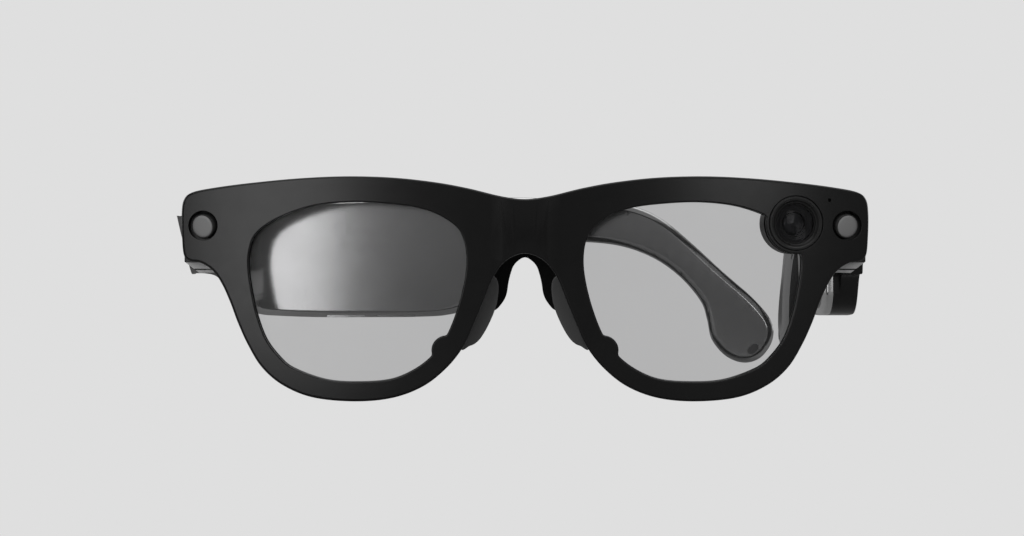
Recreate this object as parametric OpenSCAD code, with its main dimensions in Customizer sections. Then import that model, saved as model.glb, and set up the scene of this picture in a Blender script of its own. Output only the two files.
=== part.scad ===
// Smart glasses: a wrapped front frame with cameras, and two folding temples with their electronics.
// Right and left are the wearer's: right is -X. +Y points back to the ears, and +Z points up.
// The right temple is drawn folded behind the lenses, and the left temple is drawn open.
// The origin is the top of the nose arch, on the front surface of the frame.

/* [Front frame] */
// Width across the front frame
front_w = 147.8; // [146.8:0.2:148.4]
// Height of the front frame at the highest part of the brow
front_h = 48.1; // [47.7:0.1:48.5]
// Radius of the wrap, which is the front's curve seen from above
wrap_r = 450; // [420:10:600]
// Thickness of the front cover
cover_t = 1.6; // [1.4:0.1:1.8]
// Depth of the front cover and the rear frame together
frame_d = 4.8; // [4.6:0.1:5]
// Thickness of each lens
lens_t = 2; // [1.6:0.1:2.2]
// How far each lens reaches under the rim
lens_lip = 1; // [0.6:0.1:1.2]

/* [Cameras] */
// Radius of the main camera's bezel
main_cam_r = 5.8; // [5.4:0.1:6]
// Radius of the main camera's glass
main_glass_r = 4.1; // [3.8:0.1:4.3]
// Radius of each tracking camera's barrel
track_r = 2.4; // [2.2:0.1:2.6]
// How far each tracking camera looks outwards, in degrees
track_out = 12; // [8:1:14]
// How far each tracking camera looks down, in degrees
track_down = 9; // [6:1:12]
// Radius of each eye camera's barrel
eye_cam_r = 1.8; // [1.6:0.1:2]

/* [Hinges] */
// Distance of each hinge axis from the middle plane
hinge_x = 67.5; // [67.3:0.1:67.7]
// Distance of each hinge axis behind the front surface
hinge_y = 21.5; // [21.3:0.1:21.7]
// Radius of each hinge pin
pin_r = 0.7; // [0.6:0.05:0.8]
// Radial clearance of each hinge pin in the temple's knuckle
pin_gap = 0.04; // [0.02:0.01:0.08]
// Radius of the hinge knuckles
knuckle_r = 1.9; // [1.8:0.05:1.95]
// How far the right temple folds in, in degrees
fold_right = 94; // [93:0.5:94.5]

/* [Temples] */
// Distance of the inner face inside the hinge axis
temple_in = 1.5; // [1.3:0.1:1.6]
// Distance of the outer face outside the hinge axis
temple_out = 6.2; // [6:0.1:6.4]
// Distance of the joint between the two shells outside the hinge axis
split = 0.8; // [0.6:0.1:1]
// Thickness of the shells' walls
wall = 1.2; // [1:0.1:1.4]

/* [Controls] */
// Length of the capture button
button_l = 10; // [8:0.5:11]
// Width of the capture button
button_w = 2.6; // [2.2:0.1:3]
// Travel of the capture button
button_travel = 0.5; // [0.3:0.1:0.6]
// Travel of the power slider
slider_travel = 2; // [1:0.5:2.5]

/* [Hidden] */
$fn = 96;

// Heights are measured from the lowest point of the rims, and every node comes down by arch_z.
arch_z = 31.6;
// Width and height that the front's outline points are given at
drawn_w = 146.8;
drawn_h = 48.1;
// Half of the depth that outlines are extruded through before the wrap cuts them
room = 30;
// Height that covers the whole frame
tall = 60;
// A cut runs past a face by this much
over = 0.5;
// Gap between fixed pieces that fit together
fit = 0.05;

// Front outline from the middle of the brow, round the left side, to the top of the nose arch
front_half = [
    [0, 43.2], [5, 43.8], [12, 45.5], [19, 46.8], [28, 47.8], [38, 48.1], [48, 47.7], [58, 46.8],
    [66, 45.8], [71, 44.8], [72.9, 43.2], [73.4, 40], [73.3, 35], [72.9, 31.3], [71.6, 30], [69.2, 29.6],
    [66.6, 27.9], [64.7, 25.2], [62.9, 21.3], [61.2, 16.8], [59, 12], [56, 7.2], [51.5, 3.4], [45, 0.8],
    [36, 0], [28, 0.8], [21.5, 3.3], [16.5, 7.3], [13, 11.8], [11, 16.2], [9, 21], [6.6, 26.8],
    [3.8, 30.2], [0, 31.6]
];
// Left lens opening, clockwise from the nose
lens_points = [
    [12.5, 30], [13, 34.1], [14.6, 37.2], [18.6, 39.9], [23.5, 41.5], [30, 42.3], [37, 42.6], [44, 42],
    [49.6, 40.5], [54.8, 38.1], [58, 35.3], [59.2, 31.5], [59.2, 27.6], [58.5, 23], [57.5, 18.6],
    [55.6, 13.5], [52.8, 9.7], [49.6, 7.1], [42.8, 4.7], [36, 4.2], [28.7, 4.8], [23.2, 7.2], [19.2, 10.6],
    [16.5, 14.6], [14.4, 20], [13, 25.5]
];
// Side outline of an open temple, as distance behind the hinge axis and height, clockwise from the top
temple_points = [
    [-9.1, 40], [-4, 40.6], [6, 42.2], [18, 43.6], [35, 44.2], [55, 44.1], [72, 43.8], [84, 43.2],
    [92, 41.8], [98, 38.9], [104, 34], [110.5, 28], [117.5, 21.8], [121.3, 17], [121.6, 12.8], [119, 9],
    [115.3, 7.9], [111.4, 9.4], [108.4, 13], [107.4, 17.3], [106, 21.3], [101.5, 26.6], [95.5, 30.8],
    [88, 33.4], [79, 34.2], [72, 33.4], [66, 32], [62.5, 29.5], [59.5, 24.6], [56, 20.2], [51, 18.3],
    [44, 17.8], [33, 17.7], [22, 17.7], [13, 18], [9, 18.4], [5.5, 19.8], [3, 22], [1, 24.6], [-1, 26.7],
    [-3.5, 27.3], [-6, 27.4], [-6.8, 28.2], [-9.6, 39.2]
];
// Notch in the front end of each temple, which clears the hinge
notch_x = 2.2;
notch_y = 2.3;
// Plan of an open temple, as distance outside the hinge axis and distance behind it
outer_line = [
    [temple_out, -12], [temple_out, 15], [temple_out - 0.1, 32], [temple_out - 0.4, 46],
    [temple_out - 1.1, 60], [temple_out - 2, 73], [temple_out - 2.6, 88], [temple_out - 2.7, 106],
    [temple_out - 2.7, 124]
];
inner_line = [[-0.9, 124], [-1, 78], [-1.2, 68], [-temple_in, 56], [-temple_in, notch_y]];
// Hollow of each temple, clockwise from the front top corner
hollow_points = [
    [10, 40], [14, 41.6], [30, 42.4], [58, 42.2], [60.6, 39], [60.6, 34], [58.6, 27.5], [54.5, 22],
    [50, 20.4], [22, 20.4], [15, 22], [10.6, 26]
];
// Plan of the hollow, as distance outside the hinge axis and distance behind it
hollow_plan = [
    [-temple_in + wall, 8], [temple_out - wall, 8], [temple_out - wall, 28], [temple_out - wall - 0.5, 45],
    [temple_out - wall - 1.1, 56], [temple_out - wall - 1.5, 62], [-temple_in + wall, 62]
];
// Middle line of the steel core in each ear piece
core_line = [
    [62, 38], [75, 38.7], [86, 38.2], [94, 36.2], [101, 31], [107.5, 24.8], [112.5, 19.5], [113.8, 14.5]
];
core_w = 2.4;
core_t = 1.1;
// Middle line of the flexible circuit along the brow
brow_line = [[0, 38.8], [8, 41.3], [14, 43], [20, 44.1], [28, 45], [37, 45.3], [44, 45], [50, 44.2]];
flex_w = 2.2;
flex_t = 0.5;
flex_depth = 0.3;

// Main camera
main_cam_x = 58.1;
main_cam_z = 38.1;
lobe_r = main_cam_r + 0.8;
bezel_d = 2.2;
glass_depth = 1;
glass_t = 0.8;
barrel_r = 4.6;
barrel_end = 8;
// Tracking cameras
track_x = 69.2;
track_z = 37.6;
track_hole_r = 3.15;
track_end = 4.6;
window_t = 0.6;
// Eye cameras
eye_cam_x = 16.9;
eye_cam_z = 11;
eye_lobe_r = 3.05;
eye_cam_d = 2.6;
// Microphone
mic_x = 65.3;
mic_z = 43.05;
mic_port_r = 0.4;

// End pieces, which the hinges bolt to
end_bottom = 27.4;
end_top = 40.3;
end_inner_x = 61.5;
end_step_x = hinge_x + 1.8;
end_outer_x = 73.6;
end_back = 17.5;
// Hinges
knuckle_h = 1.96;
knuckle_gap = 0.06;
hinge_bottom = 28.7;
leaf_in = 0.5;
leaf_out = 1.9;
leaf_l = 9;
arm_half = 1.3;
bracket_front = 12.4;
screw_r = 0.5;
screw_head_r = 1;
screw_head_h = 0.5;
slot_w = 0.3;
slot_d = 0.25;
// Heights of the hinge screws above the bottom of the hinge, and how far back they are
hinge_screw_z = [1.2, 4.8];
bracket_screw_y = 14.8;
temple_screw_y = 6;

// Nose pads
holder_back = 10;
saddle_back = 14.4;
pad_screw_x = 9.8;
pad_screw_y = 8;
pad_screw_z = 14.1;

// Boards, cells and speakers, as distance behind the hinge axis and height
board = [12, 26.5, 14, 10.5];
cell = [28, 27.4, 28.6, 14];
speaker_box = [23.5, 20.6, 21, 5.4];
// Sound slots through the bottom edge of each temple
slot_starts = [24, 35];
slot_l = 8.7;
slot_from = -0.95;
slot_to = -0.4;
slot_bottom = 16;
slot_top = 21.2;
slot_turn = 0.8;
contact_at = [117.4, 10.9];

// Controls
button_at = [3, 21];
button_top = 44.5;
flange_z = 40.9;
flange_h = 0.6;
switch_h = 2.4;
slider_at = [3, 22];
slider_l = 6;
slider_w = 2.2;
slider_top = 44.3;

function at(p, i) = p[(i + len(p)) % len(p)];
function clamp_at(p, i) = p[max(0, min(len(p) - 1, i))];
function curve(a, b, c, d, t) =
    b + 0.5 * t * (c - a)
    + 0.5 * t * t * (2 * a - 5 * b + 4 * c - d)
    + 0.5 * t * t * t * (3 * b - a - 3 * c + d);
// Smooth closed line through the points, with n steps from each to the next
function closed_line(p, n) = [
    for (i = [0:len(p) - 1], k = [0:n - 1]) curve(at(p, i - 1), at(p, i), at(p, i + 1), at(p, i + 2), k / n)
];
function open_line(p, n) = concat(
    [for (i = [0:len(p) - 2], k = [0:n - 1])
        curve(clamp_at(p, i - 1), p[i], p[i + 1], clamp_at(p, i + 2), k / n)],
    [p[len(p) - 1]]
);
function mirrored(p) = [for (i = [len(p) - 1:-1:0]) [-p[i].x, p[i].y]];
function inner_part(p) = [for (i = [1:len(p) - 2]) p[i]];
function outward(a, b) = [a.y - b.y, b.x - a.x] / norm(b - a);
// Closed clockwise line moved outwards by d
function grown(p, d) = [for (i = [0:len(p) - 1]) p[i] + d * outward(at(p, i - 1), at(p, i + 1))];
// Strip of width w along an open line
function strip(p, w) = concat(
    [for (i = [0:len(p) - 1]) p[i] + w / 2 * outward(clamp_at(p, i - 1), clamp_at(p, i + 1))],
    [for (i = [len(p) - 1:-1:0]) p[i] - w / 2 * outward(clamp_at(p, i - 1), clamp_at(p, i + 1))]
);
function to_size(p) = [for (q = p) [q.x * front_w / drawn_w, q.y * front_h / drawn_h]];
// How far the wrapped front surface lies back at a distance x from the middle
function sag(x) = wrap_r - sqrt(wrap_r * wrap_r - x * x);

front_path = closed_line(to_size(concat(front_half, mirrored(inner_part(front_half)))), 2);
lens_path = closed_line(to_size(lens_points), 2);
temple_path = closed_line(temple_points, 2);
temple_plan = concat(
    [[notch_x, -12]], open_line(outer_line, 2), inner_line, [[notch_x, notch_y]]
);
brow_path = open_line(concat(mirrored(brow_line), [for (i = [1:len(brow_line) - 1]) brow_line[i]]), 2);

// Brings a node to the origin
module placed() {
    translate([0, 0, -arch_z]) children();
}

module both() {
    children();
    mirror([1, 0, 0]) children();
}

// Left side as drawn, right side mirrored
module on_side(side) {
    mirror([side == "right" ? 1 : 0, 0, 0]) children();
}

// Left temple open, right temple mirrored and folded in
module on_temple(side) {
    placed()
        if (side == "right")
            translate([-hinge_x, hinge_y, 0]) rotate([0, 0, -fold_right]) mirror([1, 0, 0]) children();
        else
            translate([hinge_x, hinge_y, 0]) children();
}

// Everything deeper than d behind the wrapped front surface
module behind(d) {
    translate([0, wrap_r, -over]) cylinder(h = tall, r = wrap_r - d, $fn = 720);
}

// Outline in X and Z, made solid between two depths behind the wrapped front surface
module wrapped(front, back) {
    intersection() {
        translate([0, room, 0]) rotate([90, 0, 0]) linear_extrude(2 * room) children();
        difference() {
            behind(front);
            translate([0, wrap_r, -2 * over]) cylinder(h = tall + 2 * over, r = wrap_r - back, $fn = 720);
        }
    }
}

// Local +Z points straight back into the frame from a point on the front surface
module into(x, z) {
    translate([x, sag(x), z]) rotate([0, 0, asin(x / wrap_r)]) rotate([-90, 0, 0]) children();
}

// Outline in Y and Z, made solid from one X to another
module across(from, to) {
    translate([from, 0, 0]) rotate([90, 0, 90]) linear_extrude(to - from) children();
}

module disc(x, z, r) {
    translate([x, z]) circle(r);
}

// Box given as [start, bottom, length, height] between two X values
module block(b, from, to) {
    translate([from, b[0], b[1]]) cube([to - from, b[2], b[3]]);
}

// Upright pill: a slot shape of length l and width w lying along Y
module pill(l, w, h) {
    translate([-w / 2, -l / 2 + w / 2, 0]) cube([w, l - w, h]);
    for (s = [-1, 1]) translate([0, s * (l - w) / 2, 0]) cylinder(h = h, r = w / 2);
}

module along_x(from, to, r) {
    translate([from, 0, 0]) rotate([0, 90, 0]) cylinder(h = to - from, r = r);
}

// Cheese-head screw along X, head first, with a plain slot
module screw_x(from, to) {
    difference() {
        union() {
            along_x(from, from + screw_head_h, screw_head_r);
            along_x(from, to, screw_r);
        }
        translate([from - over, -slot_w / 2, -screw_head_r]) cube([over + slot_d, slot_w, 2 * screw_head_r]);
    }
}

// Front frame

module rim_face() {
    difference() {
        polygon(front_path);
        mirror([1, 0, 0]) lens_opening();
        difference() {
            lens_opening();
            disc(main_cam_x, main_cam_z, lobe_r);
        }
    }
}

// Opening of a lens, less the lobe that carries the eye camera
module lens_opening() {
    difference() {
        polygon(lens_path);
        disc(eye_cam_x, eye_cam_z, eye_lobe_r);
    }
}

module main_axis() {
    into(main_cam_x, main_cam_z) children();
}

// Local +Z points back along a tracking camera's own axis
module track_axis() {
    into(track_x, track_z) rotate([track_down, -track_out, 0]) children();
}

module eye_axis() {
    into(eye_cam_x, eye_cam_z) children();
}

module front_cover() {
    color("#1c1c1e") placed() difference() {
        wrapped(0, cover_t) rim_face();
        main_axis() translate([0, 0, -over]) cylinder(h = 3, r = main_cam_r + fit);
        both() into(track_x, track_z) translate([0, 0, -over]) cylinder(h = 3, r = track_hole_r);
        into(mic_x, mic_z) translate([0, 0, -over]) cylinder(h = 3, r = mic_port_r);
    }
}

module end_piece() {
    intersection() {
        union() {
            across(end_inner_x, end_step_x) polygon([
                [2, end_bottom], [end_back - 0.6, end_bottom], [end_back, end_bottom + 0.6],
                [end_back, end_top - 1.5], [end_back - 1.5, end_top], [2, end_top]
            ]);
            across(end_step_x - over, end_outer_x) polygon([
                [2, end_bottom], [14.2, end_bottom], [14.5, end_bottom + 0.4],
                [11.6, end_top - 0.8], [11.1, end_top], [2, end_top]
            ]);
        }
        behind(cover_t);
    }
}

module rear_frame() {
    color("#202022") placed() difference() {
        union() {
            wrapped(cover_t, frame_d) difference() {
                polygon(grown(front_path, -0.2));
                both() lens_opening();
            }
            both() end_piece();
            intersection() {
                main_axis() cylinder(h = barrel_end - 1, r = lobe_r);
                behind(cover_t);
            }
        }
        mirror([1, 0, 0]) lens_pocket();
        difference() {
            lens_pocket();
            main_axis() cylinder(h = barrel_end, r = lobe_r + 0.15);
        }
        wrapped(cover_t - over, cover_t + flex_depth + flex_t + 0.2) polygon(strip(brow_path, flex_w + 0.4));
        main_axis() cylinder(h = barrel_end + 1, r = barrel_r + fit);
        main_axis() cylinder(h = bezel_d + fit, r = main_cam_r + fit);
        both() track_axis() translate([0, 0, -3]) cylinder(h = 3 + track_end + 0.4, r = track_hole_r);
        into(mic_x, mic_z) translate([-1.6, -1.1, 0]) cube([3.2, 2.2, 3.4]);
        both() bracket_pocket();
        both() eye_axis() translate([0, 0, 2]) cylinder(h = 4, r = 0.9);
    }
}

module lens_pocket() {
    wrapped(cover_t - over, cover_t + lens_t + fit) polygon(grown(lens_path, lens_lip + fit));
}

module lens(side) {
    color("#8c9096", 0.4) placed() on_side(side) difference() {
        wrapped(cover_t, cover_t + lens_t) polygon(grown(lens_path, lens_lip));
        if (side == "left") main_axis() translate([0, 0, -over]) cylinder(h = 9, r = lobe_r + 0.2);
    }
}

module lens_right() {
    lens("right");
}

module lens_left() {
    lens("left");
}

// Cameras

module main_camera_bezel() {
    color("#141416") placed() main_axis() difference() {
        cylinder(h = bezel_d, r = main_cam_r);
        translate([0, 0, -over]) cylinder(h = bezel_d + 1, r = main_glass_r);
        translate([0, 0, -0.01]) cylinder(h = glass_depth, r1 = main_cam_r - 0.5, r2 = main_glass_r);
    }
}

module main_camera_glass() {
    color("#26282c") placed() main_axis()
        translate([0, 0, glass_depth]) cylinder(h = glass_t, r = main_glass_r - 0.02);
}

module main_camera_barrel() {
    color("#101012") placed() main_axis() difference() {
        translate([0, 0, bezel_d]) cylinder(h = barrel_end - bezel_d, r = barrel_r);
        translate([0, 0, bezel_d - over]) cylinder(h = 3, r = 2.6);
        translate([0, 0, bezel_d - over]) cylinder(h = 4.5, r = 1.4);
    }
}

module main_camera_lens() {
    color("#33363c") placed() main_axis() translate([0, 0, bezel_d + 0.6]) cylinder(h = 1.6, r = 2.58);
}

module tracking_camera(side) {
    color("#0e0e10") placed() on_side(side) track_axis() difference() {
        union() {
            translate([0, 0, 0.4]) cylinder(h = track_end - 0.4, r = track_r);
            translate([0, 0, 3]) cylinder(h = track_end - 3, r = track_hole_r - 0.05);
        }
        translate([0, 0, 0.4 - over]) cylinder(h = over + window_t, r = track_r - 0.25);
    }
}

module tracking_camera_right() {
    tracking_camera("right");
}

module tracking_camera_left() {
    tracking_camera("left");
}

module tracking_window(side) {
    color("#6e6f72") placed() on_side(side) track_axis()
        translate([0, 0, 0.4]) cylinder(h = window_t, r = track_r - 0.27);
}

module tracking_window_right() {
    tracking_window("right");
}

module tracking_window_left() {
    tracking_window("left");
}

module eye_camera(side) {
    color("#0e0e10") placed() on_side(side) eye_axis() translate([0, 0, frame_d]) difference() {
        union() {
            cylinder(h = eye_cam_d, r = eye_cam_r);
            cylinder(h = 0.8, r = eye_cam_r + 0.6);
        }
        translate([0, 0, eye_cam_d - 0.5]) cylinder(h = 1, r = 1.1);
    }
}

module eye_camera_right() {
    eye_camera("right");
}

module eye_camera_left() {
    eye_camera("left");
}

module microphone() {
    color("#a08c50") placed() into(mic_x, mic_z) translate([-1.5, -1, cover_t + 0.1]) cube([3, 2, 1.2]);
}

module brow_flex() {
    color("#b06a28") placed()
        wrapped(cover_t + flex_depth, cover_t + flex_depth + flex_t) polygon(strip(brow_path, flex_w));
}

// Nose pads

module pad_holder(side) {
    color("#2c2c2e") placed() on_side(side) difference() {
        intersection() {
            translate([0, holder_back, 0]) rotate([90, 0, 0]) linear_extrude(holder_back) polygon([
                [8.4, 26.4], [6.5, 26.6], [5.7, 24.8], [5.9, 21.8], [6.6, 19.2], [7.7, 16.6], [9, 14.2],
                [10.3, 12.6], [11.8, 11.8], [13.6, 12]
            ]);
            across(0, 20) polygon([
                [4, 28], [8.8, 27], [10, 25.4], [10, 16], [9.2, 13], [7.6, 11.4], [4, 11]
            ]);
            behind(frame_d);
        }
        translate([0, pad_screw_y, pad_screw_z]) {
            along_x(4, pad_screw_x + 1.2, screw_r + fit);
            along_x(4, pad_screw_x + 0.6, screw_head_r + fit);
        }
    }
}

module pad_holder_right() {
    pad_holder("right");
}

module pad_holder_left() {
    pad_holder("left");
}

module pad_screws() {
    color("#0c0c0d") placed() both() translate([0, pad_screw_y, pad_screw_z])
        screw_x(pad_screw_x, pad_screw_x + 1.1);
}

module nose_saddle() {
    color("#0a0a0b") placed()
        translate([0, saddle_back, 0]) rotate([90, 0, 0])
        linear_extrude(saddle_back - holder_back) difference() {
            polygon([
                [-8.6, 19.3], [-7.8, 24.5], [-6.2, 29.3], [-3.4, 32.6], [0, 33.8],
                [3.4, 32.6], [6.2, 29.3], [7.8, 24.5], [8.6, 19.3]
            ]);
            polygon([
                [-6.6, 19], [-5.1, 20.6], [-4, 22.4], [-3.5, 26], [-2.5, 29.3], [0, 31.2],
                [2.5, 29.3], [3.5, 26], [4, 22.4], [5.1, 20.6], [6.6, 19]
            ]);
        }
}

// Hinges

// Height of a knuckle's lower end, counted from 0 at the bottom
function knuckle_z(i) = hinge_bottom + i * (knuckle_h + knuckle_gap);
hinge_h = 3 * knuckle_h + 2 * knuckle_gap;

module bracket_pocket() {
    translate([hinge_x - arm_half - fit, bracket_front - fit, hinge_bottom - fit])
        cube([2 * (arm_half + fit), room, hinge_h + 2 * fit]);
    for (z = hinge_screw_z) translate([0, bracket_screw_y, hinge_bottom + z]) {
        along_x(end_inner_x - over, hinge_x, screw_r + 0.02);
        along_x(end_inner_x - over, end_inner_x + screw_head_h + fit, screw_head_r + fit);
    }
}

module hinge_bracket(side) {
    color("#8a8c90") placed() on_side(side) difference() {
        union() {
            translate([hinge_x - arm_half, bracket_front, hinge_bottom])
                cube([2 * arm_half, hinge_y - knuckle_r - 0.4 - bracket_front, hinge_h]);
            for (i = [0, 2]) {
                translate([hinge_x - arm_half, bracket_front, knuckle_z(i)])
                    cube([2 * arm_half, hinge_y - bracket_front, knuckle_h]);
                translate([hinge_x, hinge_y, knuckle_z(i)]) cylinder(h = knuckle_h, r = knuckle_r);
            }
        }
        translate([hinge_x, hinge_y, hinge_bottom - over]) cylinder(h = hinge_h + 1, r = pin_r);
        for (z = hinge_screw_z) translate([0, bracket_screw_y, hinge_bottom + z])
            along_x(end_inner_x, hinge_x, screw_r);
    }
}

module hinge_bracket_right() {
    hinge_bracket("right");
}

module hinge_bracket_left() {
    hinge_bracket("left");
}

module hinge_pin(side) {
    color("#b4b6ba") placed() on_side(side) translate([hinge_x, hinge_y, hinge_bottom - 0.3]) difference() {
        union() {
            cylinder(h = hinge_h + 0.6, r = pin_r);
            translate([0, 0, hinge_h + 0.3]) cylinder(h = 0.6, r = 1.2);
        }
        translate([-1.3, -slot_w / 2, hinge_h + 0.6]) cube([2.6, slot_w, 1]);
    }
}

module hinge_pin_right() {
    hinge_pin("right");
}

module hinge_pin_left() {
    hinge_pin("left");
}

module bracket_screws() {
    color("#b4b6ba") placed() both() for (z = hinge_screw_z)
        translate([0, bracket_screw_y, hinge_bottom + z]) screw_x(end_inner_x, hinge_x - 0.2);
}

// The leaf reaches back into the temple, between the shells, and its neck joins it to the middle knuckle
module temple_leaf(gap) {
    translate([-leaf_in - gap, notch_y + 0.2 - gap, hinge_bottom - gap])
        cube([leaf_in + leaf_out + 2 * gap, leaf_l - notch_y - 0.2 + 2 * gap, hinge_h + 2 * gap]);
    translate([-leaf_in - gap, 0, knuckle_z(1) - gap])
        cube([leaf_in + arm_half + 2 * gap, notch_y + 0.4, knuckle_h + 2 * gap]);
}

module temple_hinge(side) {
    color("#8a8c90") on_temple(side) difference() {
        union() {
            temple_leaf(0);
            translate([0, 0, knuckle_z(1)]) cylinder(h = knuckle_h, r = knuckle_r);
        }
        translate([0, 0, hinge_bottom - over]) cylinder(h = hinge_h + 1, r = pin_r + pin_gap);
        temple_screw_holes(screw_r);
    }
}

module temple_screw_holes(r) {
    for (z = hinge_screw_z) translate([0, temple_screw_y, hinge_bottom + z])
        along_x(-temple_in - over, leaf_out - 0.2, r);
}

module temple_hinge_right() {
    temple_hinge("right");
}

module temple_hinge_left() {
    temple_hinge("left");
}

module temple_screws(side) {
    color("#b4b6ba") on_temple(side) for (z = hinge_screw_z)
        translate([0, temple_screw_y, hinge_bottom + z]) screw_x(-temple_in, leaf_out - 0.25);
}

module temple_screws_right() {
    temple_screws("right");
}

module temple_screws_left() {
    temple_screws("left");
}

// Temples

module temple_solid(from, to) {
    intersection() {
        across(from, to) polygon(temple_path);
        linear_extrude(tall) polygon(temple_plan);
    }
}

module hollow() {
    intersection() {
        across(-temple_in, temple_out) polygon(closed_line(hollow_points, 2));
        linear_extrude(tall) polygon(hollow_plan);
    }
}

module core_channel(gap) {
    across(split - over, split + core_t + gap) polygon(strip(open_line(core_line, 2), core_w + 2 * gap));
}

module button_hole() {
    translate([button_at[0], button_at[1], flange_z]) pill(button_l + 0.4, button_w + 0.4, 10);
}

module slider_hole() {
    translate([slider_at[0], slider_at[1] + slider_travel / 2, flange_z])
        pill(slider_l + slider_travel + 0.4, slider_w + 0.4, 10);
}

module temple_outer(side) {
    color("#18181a") on_temple(side) difference() {
        temple_solid(split, 8);
        hollow();
        core_channel(0.1);
        temple_leaf(fit);
        if (side == "right") button_hole(); else slider_hole();
    }
}

module temple_outer_right() {
    temple_outer("right");
}

module temple_outer_left() {
    temple_outer("left");
}

module temple_inner(side) {
    color("#1c1c1e") on_temple(side) difference() {
        temple_solid(-3, split);
        hollow();
        temple_leaf(fit);
        temple_screw_holes(screw_r + 0.02);
        for (z = hinge_screw_z) translate([0, temple_screw_y, hinge_bottom + z])
            along_x(-3, -temple_in + screw_head_h, screw_head_r + fit);
        for (s = slot_starts) sound_slot(s);
        translate([0, contact_at[0], contact_at[1]]) contact_shape(-3, split - 0.3, fit);
    }
}

// Slot up through the bottom edge that turns into the hollow, in front of the speaker
module sound_slot(start) {
    block([start, slot_bottom, slot_l, slot_top - slot_bottom], slot_from, slot_to);
    block([start, slot_top - slot_turn, slot_l, slot_turn], slot_from, 0);
}

module temple_inner_right() {
    temple_inner("right");
}

module temple_inner_left() {
    temple_inner("left");
}

module contact_shape(from, to, gap) {
    rotate([40, 0, 0]) {
        translate([from, -0.5, -0.85 - gap]) cube([to - from, 1, 1.7 + 2 * gap]);
        for (s = [-0.5, 0.5]) translate([0, s, 0]) along_x(from, to, 0.85 + gap);
    }
}

module ear_contact(side) {
    color("#77787a") on_temple(side)
        translate([0, contact_at[0], contact_at[1]]) contact_shape(-1, split - 0.35, 0);
}

module ear_contact_right() {
    ear_contact("right");
}

module ear_contact_left() {
    ear_contact("left");
}

module logic_board(side) {
    color("#1f5a3a") on_temple(side) {
        block(board, 2.6, 3.3);
        block([board[0] + 1.5, board[1] + 1.5, 5.5, 5.5], 3.2, 4.3);
        block([board[0] + 8.5, board[1] + 2, 3.5, 4], 3.2, 4);
        block([board[0] + 2, board[1] + 6.5, 9, 2.6], 1.6, 2.7);
    }
}

module logic_board_right() {
    logic_board("right");
}

module logic_board_left() {
    logic_board("left");
}

module battery(side) {
    color("#9a9ca0") on_temple(side) {
        block([cell[0] + 1, cell[1], cell[2] - 1, cell[3]], 0, 3.7);
        block([cell[0], cell[1] + 2, 1.2, 3], 2, 2.6);
        block([cell[0], cell[1] + 9, 1.2, 3], 2, 2.6);
    }
}

module battery_right() {
    battery("right");
}

module battery_left() {
    battery("left");
}

module speaker(side) {
    color("#2a2a2c") on_temple(side) difference() {
        block(speaker_box, 0.4, 4.3);
        block([speaker_box[0] + 1, speaker_box[1] + 0.8, speaker_box[2] - 2, speaker_box[3] - 1.6], 0, 1.2);
    }
}

module speaker_right() {
    speaker("right");
}

module speaker_left() {
    speaker("left");
}

module speaker_mesh(side) {
    color("#505052") on_temple(side)
        block([speaker_box[0], speaker_box[1], speaker_box[2], 2], wall - temple_in, wall - temple_in + 0.3);
}

module speaker_mesh_right() {
    speaker_mesh("right");
}

module speaker_mesh_left() {
    speaker_mesh("left");
}

module temple_core(side) {
    color("#a0a2a6") on_temple(side)
        across(split, split + core_t) polygon(strip(open_line(core_line, 2), core_w));
}

module temple_core_right() {
    temple_core("right");
}

module temple_core_left() {
    temple_core("left");
}

// Controls

module capture_button() {
    color("#121213") on_temple("right") translate([button_at[0], button_at[1], flange_z]) {
        pill(button_l, button_w, button_top - flange_z);
        pill(button_l + 1, button_w + 0.7, flange_h);
    }
}

// Dome switch on the board's upper edge; its plunger stops just short of the pressed button
module capture_switch() {
    color("#c0c0c4") on_temple("right") translate([button_at[0], button_at[1], board[1] + board[3]]) {
        translate([-1.4, -2, 0]) cube([2.8, 4, switch_h]);
        cylinder(h = flange_z - button_travel - 0.05 - board[1] - board[3], r = 0.9);
    }
}

// Slider in the top of the left temple, with a flange that keeps it under the shell
module power_slider() {
    color("#121213") on_temple("left") translate([slider_at[0], slider_at[1], flange_z]) {
        pill(slider_l, slider_w, slider_top - flange_z);
        pill(slider_l + slider_travel + 2, slider_w + 1, flange_h);
    }
}

// Slide switch on the board's upper edge, just under the slider's flange
module power_switch() {
    color("#c0c0c4") on_temple("left") translate([slider_at[0], slider_at[1], board[1] + board[3]]) {
        translate([-1.4, -3.5, 0]) cube([2.8, 7, switch_h]);
        translate([-0.6, -0.6, 0]) cube([1.2, 1.2, flange_z - 0.1 - board[1] - board[3]]);
    }
}

front_cover();
rear_frame();
lens_right();
lens_left();
main_camera_bezel();
main_camera_glass();
main_camera_barrel();
main_camera_lens();
tracking_camera_right();
tracking_camera_left();
tracking_window_right();
tracking_window_left();
eye_camera_right();
eye_camera_left();
microphone();
brow_flex();
nose_saddle();
pad_holder_right();
pad_holder_left();
pad_screws();
hinge_bracket_right();
hinge_bracket_left();
hinge_pin_right();
hinge_pin_left();
bracket_screws();
temple_outer_right();
temple_outer_left();
temple_inner_right();
temple_inner_left();
temple_hinge_right();
temple_hinge_left();
temple_screws_right();
temple_screws_left();
logic_board_right();
logic_board_left();
battery_right();
battery_left();
speaker_right();
speaker_left();
speaker_mesh_right();
speaker_mesh_left();
temple_core_right();
temple_core_left();
ear_contact_right();
ear_contact_left();
capture_button();
capture_switch();
power_slider();
power_switch();
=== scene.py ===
"""Smart glasses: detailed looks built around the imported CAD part, in the row frame, in metres."""

import math

import bmesh
import bpy
from mathutils import Matrix, Vector


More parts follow.
